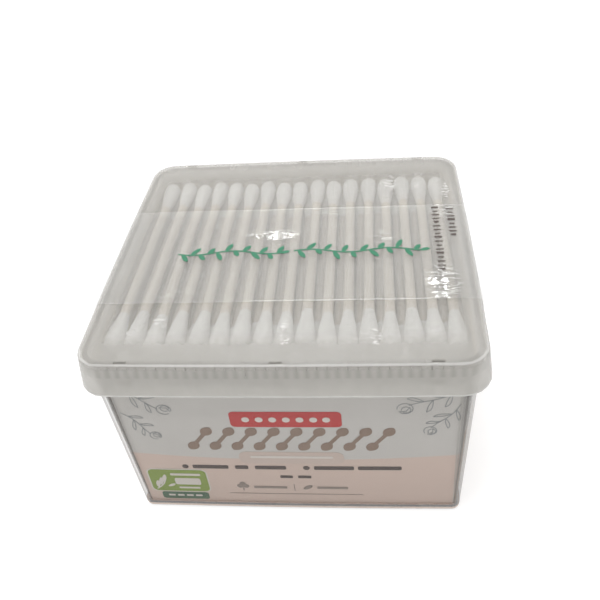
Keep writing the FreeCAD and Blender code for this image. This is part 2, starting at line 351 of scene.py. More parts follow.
@dataclass(frozen=True)
class Film:
    """Clear shrunk film: a thin mirror that is almost invisible face on, so that only its gloss shows, with
    painted glints where thin noise lines in its wrinkles make it mirror more.
    """
    name: str = "seal_film"
    colour: Colour = (0.92, 0.92, 0.91)
    haze: float = 0.045
    edge_haze: float = 0.42
    front_y: float = -23.9
    back_y: float = 17.1
    wrinkles: tuple[tuple[float, float, float, float, float], ...] = ()

    def make(self) -> bpy.types.Material:
        """Builds the material.

        Returns:
            The material.
        """
        tree = Tree(self.name)
        vector, _, y, _ = tree.place()
        facing = tree.add("ShaderNodeLayerWeight", inputs={"Blend": 0.3}, output="Facing")
        waves = tree.noise(tree.stretched(vector, (0.05, 0.13, 0.1)), 1.0, 3.0)
        creases = tree.noise(tree.stretched(vector, (0.35, 0.9, 0.6)), 1.0, 4.0, 0.65)
        folds = (tree.noise(tree.stretched(vector, (0.75, 2.6, 0.8)), 1.0, 2.0, 0.5) - 0.5).size()
        swirl = tree.noise(tree.stretched(vector, (0.20, 0.55, 0.4)), 1.0, 1.5, 0.5)
        # Painted glints: thin noise lines inside the wrinkles, where the film is made to mirror more.
        lines = 1 - (swirl - 0.5).size().step(0.012, 0.045)
        near = creases * 0.0
        for place_x, place_y, reach_x, reach_y, depth in self.wrinkles:
            away = tree.distance(vector, (place_x, place_y, 62.3), (1 / reach_x, 1 / reach_y, 0.1))
            near = near.most(depth * (1 - away.step(0.2, 1.3)))
        cut = (1 - (y - self.front_y).size().step(0.1, 0.4)).most(1 - (y - self.back_y).size().step(0.1, 0.4))
        return tree.set(
            Base_Color=self.colour,
            Metallic=1.0,
            Alpha=((self.haze + (self.edge_haze - self.haze) * facing ** 2.0 + 0.8 * near * lines)
                   * (1 - 0.85 * cut)),
            Roughness=0.07 + 0.06 * creases,
            Normal=tree.bump(0.5 * waves + 0.06 * creases + 0.9 * near * folds, 0.4, 0.85))


@dataclass(frozen=True)
class Cotton:
    """Wound cotton: white, matt and softly fibrous along the winding, darkened by painted shade on the tips lower
    in the tub.
    """
    name: str = "cotton"
    colour: Colour = (0.57, 0.57, 0.565)
    shade: Colour = (0.49, 0.485, 0.47)

    def make(self) -> bpy.types.Material:
        """Builds the material.

        Returns:
            The material.
        """
        tree = Tree(self.name)
        vector, _, _, z = tree.place()
        fuzz = tree.noise(tree.stretched(vector, (1.6, 0.7, 1.6)), 1.3, 5.0, 0.6)
        clumps = tree.noise(vector, 0.5, 2.0)
        return tree.set(
            # Painted shade: tips lower in the tub darken towards a dark brown below the top row.
            Base_Color=tree.blend(0.85 * (1 - z.step(46.0, 58.0)),
                                  tree.blend(fuzz * clumps * 2.4, self.shade, self.colour), (0.20, 0.18, 0.15)),
            Roughness=0.9 + 0.1 * fuzz,
            Sheen_Weight=0.3,
            Sheen_Roughness=0.6,
            Specular_IOR_Level=0.15,
            Normal=tree.bump(fuzz, 0.25, 0.6))


@dataclass(frozen=True)
class PaperStick:
    """Rolled cream paper with faint streaks along it, darkened by painted shade on the sticks lower in the tub.
    """
    name: str = "paper_stick"
    colour: Colour = (0.555, 0.52, 0.46)
    shade: Colour = (0.465, 0.42, 0.355)
    # Heights between which the painted shade fades out, full below and none above.
    dark_below: float = 49.0
    light_above: float = 58.3

    def make(self) -> bpy.types.Material:
        """Builds the material.

        Returns:
            The material.
        """
        tree = Tree(self.name)
        vector, _, _, z = tree.place()
        streaks = tree.noise(tree.stretched(vector, (1.2, 0.06, 1.2)), 1.0, 4.0)
        # Painted shade: the lower in the tub, the darker the stick.
        depth = 1 - z.step(self.dark_below, self.light_above)
        fibre = tree.noise(tree.stretched(vector, (5.0, 1.2, 5.0)), 1.0, 3.0)
        return tree.set(
            Base_Color=tree.blend(0.92 * depth, tree.blend(streaks, self.shade, self.colour),
                                  (0.13, 0.105, 0.075)),
            Roughness=0.75 + 0.12 * fibre,
            Specular_IOR_Level=0.3,
            Normal=tree.bump(fibre, 0.05, 0.5))


@dataclass(frozen=True)
class CardPrint:
    """Matt printed card: a pale field above a beige one, warm brown on the short sides, and a painted dark shadow
    beside each folded corner.
    """
    name: str = "card_print"
    pale: Colour = (0.62, 0.60, 0.57)
    beige: Colour = (0.69, 0.55, 0.48)
    brown: Colour = (0.44, 0.24, 0.09)
    line_middle: float = 22.1
    line_rise: float = 2.6
    brown_top: float = 33.0

    def make(self) -> bpy.types.Material:
        """Builds the material.

        Returns:
            The material.
        """
        tree = Tree(self.name)
        vector, x, _, z = tree.place()
        grain = tree.noise(vector, 2.0, 4.0, 0.7)
        cloud = tree.noise(vector, 0.08, 2.0)
        across, deep, _ = tree.normal()
        turned = across.size()
        ahead = (0 - deep).step(0.05, 0.2)
        line = self.line_middle + self.line_rise * (x / 45.0) ** 2.0
        lower = (line - z).step(-0.12, 0.12)
        side = turned.step(0.72, 0.78)
        crease = across.step(0.12, 0.22) * (1 - across.step(0.34, 0.44)) * ahead
        # Painted shadow: a dark line beside each folded corner, where the card's fold stands off the tub's
        # rounded corner.
        fold_shadow = across.step(0.44, 0.54) * (1 - turned.step(0.70, 0.78))
        fold_shadow = fold_shadow.most((0 - across).step(0.28, 0.4) * (1 - turned.step(0.80, 0.88))) * ahead
        front = tree.blend(lower, self.pale, self.beige)
        flank = tree.blend((self.brown_top - z).step(-0.3, 0.3), self.pale, self.brown)
        # The pale crease is cracked print; the dark line laid over it is painted shadow.
        worn_and_shaded = tree.blend(0.5 * crease, tree.blend(side, front, flank), (0.78, 0.74, 0.68))
        worn_and_shaded = tree.blend(0.85 * fold_shadow, worn_and_shaded, (0.10, 0.075, 0.055))
        return tree.set(
            Base_Color=tree.blend(0.10 * grain + 0.08 * cloud, worn_and_shaded, (0.32, 0.30, 0.27)),
            Roughness=0.68 + 0.14 * grain,
            Specular_IOR_Level=0.35,
            Normal=tree.bump(grain, 0.03, 0.5))


@dataclass(frozen=True)
class Kraft:
    """The liner's bare tan inside."""
    name: str = "kraft"
    colour: Colour = (0.46, 0.40, 0.31)

    def make(self) -> bpy.types.Material:
        """Builds the material.

        Returns:
            The material.
        """
        tree = Tree(self.name)
        vector, *_ = tree.place()
        fibre = tree.noise(tree.stretched(vector, (1.0, 1.0, 3.0)), 1.5, 4.0, 0.7)
        return tree.set(
            Base_Color=tree.blend(fibre, tuple(c * 0.85 for c in self.colour), self.colour),
            Roughness=0.8 + 0.1 * fibre,
            Normal=tree.bump(fibre, 0.04, 0.5))


class InkColour(Enum):
    """The printing colours."""
    RED = (0.50, 0.022, 0.022)
    BLUSH = (0.60, 0.49, 0.43)
    CREAM = (0.70, 0.65, 0.60)
    BROWN = (0.25, 0.17, 0.125)
    DARK = (0.05, 0.03, 0.025)
    RULE = (0.27, 0.22, 0.19)
    GREEN = (0.22, 0.31, 0.035)
    DEEP_GREEN = (0.045, 0.12, 0.06)
    LEAF_GREEN = (0.0, 0.17, 0.08)
    GREY = (0.30, 0.31, 0.31)


@dataclass(frozen=True)
class Ink:
    """One printed colour, slightly uneven as on card or film."""
    shade: InkColour
    roughness: float = 0.6
    uneven: float = 0.12

    def make(self) -> bpy.types.Material:
        """Builds the material.

        Returns:
            The material.
        """
        tree = Tree("ink_" + self.shade.name.lower())
        vector, *_ = tree.place()
        speck = tree.noise(vector, 2.5, 3.0, 0.6)
        return tree.set(
            Base_Color=tree.blend(self.uneven * speck, self.shade.value, (0.5, 0.48, 0.45)),
            Roughness=self.roughness + 0.15 * (speck - 0.5),
            Normal=tree.bump(speck, 0.01, 0.4))


# Modelling helpers


def deselect() -> None:
    """Clears the selection, so that an operator meets only what is picked next."""
    bpy.ops.object.select_all(action="DESELECT")


def pick(piece: bpy.types.Object) -> None:
    """Makes a piece the only selected and the active one.

    Args:
        piece: the object to pick.
    """
    deselect()
    piece.select_set(True)
    bpy.context.view_layer.objects.active = piece


def apply_modifier(piece: bpy.types.Object, kind: str, **settings: object) -> None:
    """Adds a modifier and applies it.

    Args:
        piece: the object that gets it.
        kind: the modifier's type.
        settings: its properties.
    """
    pick(piece)
    modifier = piece.modifiers.new(kind.lower(), kind)
    for key, value in settings.items():
        setattr(modifier, key, value)
    bpy.ops.object.modifier_apply(modifier=modifier.name)


def join(pieces: Sequence[bpy.types.Object], name: str) -> bpy.types.Object:
    """Joins pieces into the first one, under a new name.

    Args:
        pieces: the objects to join.
        name: the joined piece's name.

    Returns:
        The joined piece.
    """
    pick(pieces[0])
    for piece in pieces[1:]:
        piece.select_set(True)
    if len(pieces) > 1:
        bpy.ops.object.join()
    pieces[0].name = name
    pieces[0].data.name = name
    return pieces[0]


def duplicate(template: bpy.types.Object, matrix: Matrix, name: str) -> bpy.types.Object:
    """A copy of a template with its own mesh, moved in its mesh.

    Args:
        template: the piece to copy.
        matrix: where the copy goes.
        name: the copy's name.

    Returns:
        The copy.
    """
    piece = bpy.data.objects.new(name, template.data.copy())
    piece.data.transform(matrix)
    bpy.context.scene.collection.objects.link(piece)
    return piece


def smooth(piece: bpy.types.Object, degrees: float = 35.0) -> None:
    """Shades faces smooth across edges that turn less than an angle."""
    pick(piece)
    bpy.ops.object.shade_smooth_by_angle(angle=math.radians(degrees))


def dress(piece: bpy.types.Object, material: bpy.types.Material) -> bpy.types.Object:
    """Gives a piece one material in one slot, and puts it on the body.

    Args:
        piece: the object to dress.
        material: its material.

    Returns:
        The piece.
    """
    piece.data.materials.clear()
    piece.data.materials.append(material)
    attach(piece, "root")
    return piece


def skin_copy(node: str, name: str, degrees: float) -> bpy.types.Object:
    """A merged copy of a CAD node with clean smooth shading.

    Args:
        node: the CAD node.
        name: the new piece's name.
        degrees: edges that turn less than this are shaded smooth.

    Returns:
        The new piece, which stands for the node.
    """
    piece = duplicate(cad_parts[node], Matrix.Identity(4), name)
    pick(piece)
    bpy.ops.object.mode_set(mode="EDIT")
    bpy.ops.mesh.select_all(action="SELECT")
    bpy.ops.mesh.remove_doubles(threshold=0.002 * MM)
    bpy.ops.mesh.customdata_custom_splitnormals_clear()
    bpy.ops.object.mode_set(mode="OBJECT")
    smooth(piece, degrees)
    apply_modifier(piece, "WEIGHTED_NORMAL", mode="FACE_AREA", keep_sharp=True)
    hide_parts(node)
    return piece


def flat_bar(x0: float, y0: float, x1: float, y1: float, radius: float = 0.0) -> bpy.types.Object:
    """A flat rectangle in the plane, in millimetres, with rounded corners if a radius is given.

    Args:
        x0: left edge.
        y0: lower edge.
        x1: right edge.
        y1: upper edge.
        radius: corner radius.

    Returns:
        The flat piece, in metres.
    """
    deselect()
    columns = max(1, round((x1 - x0) / 3.0))
    bpy.ops.mesh.primitive_grid_add(x_subdivisions=columns, y_subdivisions=1, size=1.0,
                                    location=((x0 + x1) / 2 * MM, (y0 + y1) / 2 * MM, 0.0))
    piece = bpy.context.object
    piece.scale = ((x1 - x0) * MM, (y1 - y0) * MM, 1.0)
    bpy.ops.object.transform_apply(location=True, rotation=True, scale=True)
    if radius:
        bpy.ops.object.mode_set(mode="EDIT")
        mesh = bmesh.from_edit_mesh(piece.data)
        for vert in mesh.verts:
            vert.select = len(vert.link_edges) == 2
        mesh.select_flush_mode()
        bmesh.update_edit_mesh(piece.data)
        bpy.ops.mesh.bevel(affect="VERTICES", offset=radius * MM, segments=4)
        bpy.ops.object.mode_set(mode="OBJECT")
    return piece


def flat_leaf(x: float, y: float, degrees: float, length: float, width: float,
              corners: int = 14) -> bpy.types.Object:
    """A flat pointed leaf in the plane, in millimetres.

    Args:
        x: its foot's place.
        y: its foot's place.
        degrees: the way it points, from the x axis.
        length: from foot to tip.
        width: across its middle.
        corners: how many corners its outline has.

    Returns:
        The flat piece, in metres.
    """
    deselect()
    bpy.ops.mesh.primitive_circle_add(vertices=corners, radius=1.0, fill_type="NGON")
    piece = bpy.context.object
    for vert in piece.data.vertices:
        along, across = vert.co.y, -vert.co.x
        vert.co.x = length * (0.5 + 0.5 * along)
        vert.co.y = width / 2 * across * abs(across) ** 0.35
    turn = Matrix.Rotation(math.radians(degrees), 4, "Z")
    piece.data.transform(Matrix.Scale(MM, 4) @ Matrix.Translation((x, y, 0)) @ turn)
    return piece


def flat_dot(x: float, y: float, radius: float, squash: float = 1.0) -> bpy.types.Object:
    """A flat disc in the plane, in millimetres, optionally flattened.

    Args:
        x: its middle.
        y: its middle.
        radius: its radius.
        squash: its height as a share of its width.

    Returns:
        The flat piece, in metres.
    """
    deselect()
    bpy.ops.mesh.primitive_circle_add(vertices=14, radius=radius * MM, fill_type="NGON",
                                      location=(x * MM, y * MM, 0.0))
    piece = bpy.context.object
    piece.scale.y = squash
    bpy.ops.object.transform_apply(location=True, rotation=True, scale=True)
    return piece


def flat_line(path: Sequence[Point], width: float) -> bpy.types.Object:
    """A flat line of some width along a path in the plane, in millimetres.

    Args:
        path: points of its middle.
        width: its width.

    Returns:
        The flat piece, in metres.
    """
    deselect()
    bpy.ops.mesh.primitive_grid_add(x_subdivisions=len(path) - 1, y_subdivisions=1, size=1.0)
    piece = bpy.context.object
    for number, vert in enumerate(piece.data.vertices):
        at, side = number % len(path), number // len(path)
        before, after = path[max(at - 1, 0)], path[min(at + 1, len(path) - 1)]
        run = Vector((after[0] - before[0], after[1] - before[1])).normalized() * width * (side - 0.5)
        vert.co = Vector((path[at][0] - run.y, path[at][1] + run.x, 0.0)) * MM
    return piece


def arc(x: float, y: float, radius: float, start: float, end: float, points: int = 9) -> list[Point]:
    """Points along a circle's arc, with angles in degrees."""
    angles = [math.radians(start + (end - start) * n / (points - 1)) for n in range(points)]
    return [(x + radius * math.cos(a), y + radius * math.sin(a)) for a in angles]


def drape(flats: Sequence[bpy.types.Object], name: str, surface: Surface, thickness: float = 0.02
          ) -> bpy.types.Object:
    """Joins flat shapes, lays them on a surface and gives them a little thickness.

    Args:
        flats: flat pieces in the plane.
        name: the joined piece's name.
        surface: gives the point for a place in the plane, all in metres.
        thickness: the print's thickness in millimetres.

    Returns:
        The laid piece.
    """
    piece = join(flats, name)
    for vert in piece.data.vertices:
        vert.co = surface(vert.co.x, vert.co.y)
    piece.data.update()
    apply_modifier(piece, "SOLIDIFY", thickness=thickness * MM, offset=1.0)
    return piece


# Tub and lid


@dataclass
class Shells:
    """The tub and the lid, with the lid's ribs, nubs, slots and pips as the solids have them."""
    lid_finish: ClearPlastic = LidPlastic("hazy_lid", (0.68, 0.66, 0.615), 0.165, 0.92, 1.5, 0.4, 0.24)
    tub_finish: ClearPlastic = ClearPlastic("clear_tub", (0.36, 0.35, 0.335), 0.012, 0.9, 2.8, 0.0, 0.1, 0.25)
    smooth_below: float = 32.0

    def build(self) -> list[bpy.types.Object]:
        """Builds and dresses both shells.

        Returns:
            The tub and the lid.
        """
        tub = skin_copy("tub", "tub_shell", self.smooth_below)
        lid = skin_copy("lid", "lid_shell", self.smooth_below)
        return [dress(tub, self.tub_finish.make()),
                dress(lid, self.lid_finish.make())]


# Printed card liner


@dataclass
class Liner:
    """The folded card strip, printed outside and bare inside, with its printed shapes."""
    inks: dict[InkColour, bpy.types.Material]
    lift: float = 0.06
    bow: float = 0.42

    def __post_init__(self) -> None:
        """Reads the front panel's slope from the CAD liner."""
        low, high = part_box("card_liner")
        points = [v.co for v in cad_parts["card_liner"].data.vertices]
        self.foot_z, self.top_z = low.z / MM, high.z / MM
        self.foot_y = min(p.y for p in points if p.z < low.z + 0.1 * MM) / MM
        self.top_y = low.y / MM
        self.top_x = high.x / MM

    def front(self, level: int) -> Surface:
        """The surface just before the front panel.

        Args:
            level: how many prints lie up to this one.

        Returns:
            A function from place and height to the point on it.
        """
        def surface(x: float, z: float) -> Vector:
            """The point before the panel at this place and height."""
            share = (z / MM - self.foot_z) / (self.top_z - self.foot_z)
            y = self.foot_y + (self.top_y - self.foot_y) * share + self.bow * (x / MM / self.top_x) ** 2
            return Vector((x, (y - self.lift * level) * MM, z))

        return surface

    def build(self) -> list[bpy.types.Object]:
        """Builds the card and its printed shapes.

        Returns:
            The card, then the shapes.
        """
        card = skin_copy("card_liner", "liner_card", 32.0)
        card.data.materials.clear()
        card.data.materials.append(CardPrint().make())
        card.data.materials.append(Kraft().make())
        for face in card.data.polygons:
            face.material_index = 0 if self.is_outside(face) else 1
        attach(card, "root")
        return [card] + self.prints()

    def is_outside(self, face: bpy.types.MeshPolygon) -> bool:
        """Whether a face of the card looks out of the tub."""
        flat = Vector((face.normal.x, face.normal.y))
        return flat.length > 0.5 and flat.dot(Vector((face.center.x, face.center.y))) > 0

    def ink(self, flats: Sequence[bpy.types.Object], name: str, shade: InkColour, level: int = 1
            ) -> bpy.types.Object:
        """Prints flat shapes on the front panel.

        Args:
            flats: flat pieces, whose y is the height on the panel.
            name: the printed piece's name.
            shade: its ink.
            level: how many prints lie up to this one.

        Returns:
            The printed piece.
        """
        return dress(drape(flats, name, self.front(level)), self.inks[shade])

    def prints(self) -> list[bpy.types.Object]:
        """All printed shapes of the front panel.

        Returns:
            The printed pieces.
        """
        return [
            self.ink([flat_bar(-14.2, 36.2, 13.8, 42.3, 1.2)], "red_bar", InkColour.RED),
            self.ink([flat_dot(x, 39.2, 1.0) for x in (-10.2, -6.8, -3.4, 0.0, 3.4, 6.8, 10.0)],
                     "red_bar_dots", InkColour.CREAM, 2),
            self.ink([flat_bar(-14.0, 20.4, 13.6, 25.6, 2.0)], "tab_field", InkColour.BLUSH),
            self.ink([flat_bar(-11.0, 22.9, 10.8, 23.9, 0.45)], "tab_bar", InkColour.CREAM, 2),
            self.ink(self.swab_icons(), "swab_icons", InkColour.BROWN),
            self.ink(self.word_bars(), "dark_bars", InkColour.DARK),
            self.ink(self.small_icons(), "small_icons", InkColour.RULE),
            self.ink([flat_bar(-41.0, 6.2, -24.0, 17.2, 1.9)], "patch_rim", InkColour.CREAM),
            self.ink([flat_bar(-40.6, 6.6, -24.4, 16.8, 1.6)], "green_patch", InkColour.GREEN, 2),
            self.ink([flat_bar(-38.6, 2.7, -25.2, 6.0, 0.8)], "deep_strip", InkColour.DEEP_GREEN),
            self.ink([flat_leaf(-38.9, 8.3, 84, 3.4, 1.2), flat_leaf(-37.9, 9.6, 80, 3.6, 1.2),
                      flat_leaf(-36.9, 10.9, 76, 3.8, 1.2), flat_leaf(-36.0, 8.9, 30, 2.6, 1.0),
                      flat_line([(-39.4, 7.6), (-38.2, 8.7), (-37.0, 10.2), (-36.2, 12.2)], 0.4),
                      flat_bar(-34.4, 14.2, -26.0, 15.2, 0.3), flat_bar(-33.6, 9.9, -26.4, 13.0, 0.6),
                      flat_bar(-33.0, 8.0, -27.0, 8.8, 0.3)],
                     "patch_leaves", InkColour.CREAM, 3),
            self.ink([flat_bar(x, 4.1, x + 1.9, 4.9, 0.2) for x in (-36.8, -34.2, -31.6, -29.0)],
                     "strip_dashes", InkColour.CREAM, 2),
            self.ink(self.sprig(-42.4, 51.0, -34.0, 1.1) + self.sprig(-42.0, 41.5, -52.0, 0.9),
                     "left_sprigs", InkColour.GREY),
            self.ink(self.sprig(42.6, 50.5, 208.0, 1.15) + self.sprig(42.4, 45.0, 236.0, 0.95),
                     "right_sprigs", InkColour.GREY),
        ]

    def swab_icons(self) -> list[bpy.types.Object]:
        """A row of slanted swabs.

        Returns:
            The flat pieces.
        """
        flats = []
        for number in range(9):
            x = -23.2 + 5.8 * number
            low, high = (x - 1.7, 28.7), (x + 1.7, 33.5)
            flats.append(flat_line([low, high], 1.1))
            flats.append(flat_leaf(low[0] + 0.7, low[1] + 1.0, 235.0, 4.0, 3.1))
            flats.append(flat_leaf(high[0] - 0.7, high[1] - 1.0, 55.0, 4.0, 3.1))
        return flats

    def word_bars(self) -> list[bpy.types.Object]:
        """Two lines of short bars, with round marks before them.

        Returns:
            The flat pieces.
        """
        flats = [flat_dot(-29.4, 18.5, 0.9), flat_dot(3.4, 18.5, 0.9)]
        for x0, x1 in ((-27.4, -17.6), (-15.8, -12.2), (-10.4, -2.0), (5.4, 16.0), (17.0, 28.4)):
            flats.append(flat_bar(x0, 17.7, x1, 19.3, 0.4))
        flats += [flat_bar(-4.0, 13.7, -0.6, 14.9, 0.3), flat_bar(0.8, 13.7, 4.4, 14.9, 0.3)]
        return flats

    def small_icons(self) -> list[bpy.types.Object]:
        """A boll and a leaf with a bar beside each, a tick between them and a thin rule below.

        Returns:
            The flat pieces.
        """
        flats = [flat_dot(-15.6, 9.6, 0.9), flat_dot(-14.0, 9.6, 0.9), flat_dot(-14.8, 10.7, 0.9),
                 flat_line([(-14.8, 7.4), (-14.8, 9.0)], 0.35),
                 flat_leaf(1.8, 8.4, 35, 3.2, 1.5),
                 flat_bar(-11.8, 8.6, -2.6, 9.7, 0.3), flat_bar(5.6, 8.6, 14.0, 9.7, 0.3),
                 flat_line([(-0.6, 7.6), (-0.6, 10.8)], 0.22),
                 flat_line([(-19.0 + 3.7 * n, 6.0) for n in range(11)], 0.2)]
        return flats

    def sprig(self, x: float, z: float, degrees: float, scale: float) -> list[bpy.types.Object]:
        """A thin line drawing of a twig with open leaves and a round bud.

        Args:
            x: its foot's place in millimetres.
            z: its foot's height in millimetres.
            degrees: the way it grows.
            scale: its size.

        Returns:
            The flat lines.
        """
        turn = math.radians(degrees)

        def moved(path: Sequence[Point]) -> list[Point]:
            """The path, turned, scaled and put in its place."""
            return [(x + scale * (u * math.cos(turn) - v * math.sin(turn)),
                     z + scale * (u * math.sin(turn) + v * math.cos(turn))) for u, v in path]

        paths = [[(1.0 * n, 0.6 * math.sin(n / 2.6)) for n in range(13)]]
        for at, side, size in ((2.5, 1, 4.0), (4.5, -1, 4.4), (6.8, 1, 3.8), (8.6, -1, 3.4)):
            foot = (at, 0.6 * math.sin(at / 2.6))
            for bulge in (0.9, -0.4):
                paths.append([(foot[0] + size * t * 0.8, foot[1] + side * (size * t * 0.75
                               + bulge * math.sin(math.pi * t))) for t in (0, 0.2, 0.4, 0.6, 0.8, 1.0)])
        for radius, shift in ((1.7, 0.0), (1.0, 0.5)):
            paths.append(arc(13.2, shift, radius, 20, 340, 13))
        paths.append([(12.0, 0.0), (13.4, 0.9), (14.8, 0.2)])
        return [flat_line(moved(path), 0.24) for path in paths]


# Swabs


@dataclass
class Swabs:
    """Sticks and cotton tips laid where the CAD swabs lie."""
    cotton: bpy.types.Material
    paper: bpy.types.Material
    length: float = 73.0
    tip_length: float = 12.5
    tip_radius: float = 2.54
    stick_radius: float = 1.25
    rebuilt_rows: int = 4
    tip_profile: tuple[Point, ...] = (
        (0.0, 0.52), (0.04, 0.57), (0.15, 0.65), (0.28, 0.76), (0.42, 0.88), (0.56, 0.96), (0.7, 1.0),
        (0.82, 0.99), (0.9, 0.91), (0.955, 0.76), (0.985, 0.55), (1.0, 0.25))
    plain_profile: tuple[Point, ...] = (
        (0.0, 0.5), (0.25, 0.74), (0.5, 0.95), (0.75, 1.0), (0.92, 0.86), (1.0, 0.4))

    def lathe(self, profile: Sequence[Point], sides: int, name: str) -> bpy.types.Object:
        """A round closed form along the y axis, drawn out ring by ring from a disc.

        Args:
            profile: (place along the axis, radius) pairs in millimetres.
            sides: corners of each ring.
            name: the piece's name.

        Returns:
            The piece.
        """
        deselect()
        start, radius = profile[0]
        bpy.ops.mesh.primitive_circle_add(vertices=sides, radius=radius * MM, fill_type="NGON",
                                          rotation=(math.pi / 2, 0, 0), location=(0, start * MM, 0))
        piece = bpy.context.object
        bpy.ops.object.transform_apply(location=True, rotation=True, scale=True)
        bpy.ops.object.mode_set(mode="EDIT")
        bpy.ops.mesh.select_all(action="SELECT")
        for (at, radius), (then, wider) in zip(profile, profile[1:]):
            bpy.ops.mesh.extrude_region_move(TRANSFORM_OT_translate={"value": (0, (then - at) * MM, 0)})
            bpy.ops.transform.resize(value=(wider / radius, 1, wider / radius), center_override=(0, then * MM, 0))
        bpy.ops.mesh.select_all(action="SELECT")
        bpy.ops.mesh.normals_make_consistent(inside=False)
        bpy.ops.object.mode_set(mode="OBJECT")
        piece.name = name
        smooth(piece, 50)
        return piece

    def templates(self, profile: Sequence[Point], sides: int, stick_radius: float
                  ) -> tuple[bpy.types.Object, bpy.types.Object]:
        """One stick and one tip to copy.

        Args:
            profile: the tip's outline, in shares of its length and radius.
            sides: corners of each ring.
            stick_radius: the stick's radius in millimetres.

        Returns:
            The stick along the y axis, and the tip from the origin along +y.
        """
        reach = self.length / 2 - 2.0
        stick = self.lathe([(share * reach, stick_radius) for share in (-1, -0.4, 0.4, 1)], sides,
                           "stick_template")
        tip = self.lathe([(share * self.tip_length, radius * self.tip_radius) for share, radius in profile],
                         sides, "tip_template")
        return stick, tip

    def lay(self, templates: Sequence[bpy.types.Object], middle: Vector, along: Vector, number: int
            ) -> tuple[bpy.types.Object, list[bpy.types.Object]]:
        """Copies of the templates laid as one swab.

        Args:
            templates: the stick and the tip.
            middle: the swab's middle.
            along: its direction to the back.
            number: any number, which varies the tips a little.

        Returns:
            The stick and its two tips.
        """
        stick, tip = templates
        turn = Vector((0, 1, 0)).rotation_difference(along).to_matrix().to_4x4()
        laid_stick = duplicate(stick, Matrix.Translation(middle) @ turn, "stick")
        tips = []
        for side in (-1, 1):
            foot = middle + along * side * (self.length / 2 - self.tip_length) * MM
            face = turn @ (Matrix.Rotation(math.pi, 4, "Z") if side < 0 else Matrix.Identity(4))
            laid_tip = duplicate(tip, Matrix.Translation(foot) @ face, "tip")
            self.fluff(laid_tip, foot, along * side, number * 2.0 + side)
            tips.append(laid_tip)
        return laid_stick, tips

    def fluff(self, tip: bpy.types.Object, foot: Vector, along: Vector, seed: float) -> None:
        """Makes a tip slightly uneven, always inwards, so that it keeps its room.

        Args:
            tip: the tip.
            foot: where it starts on the stick.
            along: its direction.
            seed: any number, which picks its lumps.
        """
        for vert in tip.data.vertices:
            share = (vert.co - foot).dot(along) / (self.tip_length * MM)
            axis = foot + along * share * self.tip_length * MM
            lump = noise.noise(vert.co * 260.0 + Vector((seed, 0, 0)))
            vert.co = axis + (vert.co - axis) * (1.0 - 0.05 * max(0.0, min(1.0, share * 3)) * (1.0 + lump))

    def build(self) -> list[bpy.types.Object]:
        """Builds the top row and the rows that show between its swabs.

        Returns:
            The new pieces.
        """
        fine = self.templates(self.tip_profile, 20, self.stick_radius * 1.08)
        pieces = []
        nodes = sorted(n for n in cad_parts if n.startswith("top_swab_") and n.endswith("_stick"))
        for number, node in enumerate(nodes):
            front, back = ring_ends(node)
            stick, tips = self.lay(fine, (front + back) / 2, (back - front).normalized(), number)
            pieces.append(self.finish([stick], node, "_stick", "_paper", self.paper))
            pieces.append(self.finish(tips, node.replace("_stick", "_cotton"), "_cotton", "_tips", self.cotton))
        plain = self.templates(self.plain_profile, 10, self.stick_radius)
        rows = sorted(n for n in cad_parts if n.startswith("swabs_layer_"))
        for row, node in enumerate(rows):
            if row < len(rows) - self.rebuilt_rows:
                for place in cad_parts[node].material_slots:
                    place.material = self.cotton
            else:
                pieces.append(self.row(plain, node, row))
        for template in fine + plain:
            bpy.data.objects.remove(template)
        return pieces

    def row(self, templates: Sequence[bpy.types.Object], node: str, row: int) -> bpy.types.Object:
        """A hidden row rebuilt with round sticks and tips, in the two finishes.

        Args:
            templates: the stick and the tip.
            node: the CAD row.
            row: its number, from the bottom.

        Returns:
            The row.
        """
        sticks, tips = [], []
        for number, middle in enumerate(part_middles(node)):
            stick, pair = self.lay(templates, middle, Vector((0, 1, 0)), number + 20 * row)
            sticks.append(stick)
            tips += pair
        paper = join(sticks, "row_sticks")
        wool = join(tips, "row_tips")
        for piece, material in ((paper, self.paper), (wool, self.cotton)):
            piece.data.materials.clear()
            piece.data.materials.append(material)
        piece = join([wool, paper], node.replace("swabs_layer", "row") + "_swabs")
        smooth(piece, 50)
        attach(piece, "root")
        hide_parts(node)
        return piece

    def finish(self, parts: Sequence[bpy.types.Object], node: str, old: str, new: str,
               material: bpy.types.Material) -> bpy.types.Object:
        """Joins and dresses the parts that stand for one CAD node.

        Args:
            parts: the objects to join.
            node: the CAD node.
            old: the end of the node's name.
            new: the end of the piece's name.
            material: its material.

        Returns:
            The piece.
        """
        piece = join(parts, node.replace(old, new))
        smooth(piece, 50)
        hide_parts(node)
        return dress(piece, material)


def ring_ends(node: str) -> tuple[Vector, Vector]:
    """The middles of a stick's front end and back end.

    Args:
        node: name of the CAD node of one straight stick.

    Returns:
        The front middle and the back middle, in metres.
    """
    points = [v.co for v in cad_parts[node].data.vertices]
    ends = []
    for side in (-1, 1):
        half = [p for p in points if p.y * side > 0]
        low = Vector([min(p[axis] for p in half) for axis in range(3)])
        high = Vector([max(p[axis] for p in half) for axis in range(3)])
        ends.append((low + high) / 2)
    return ends[0], ends[1]


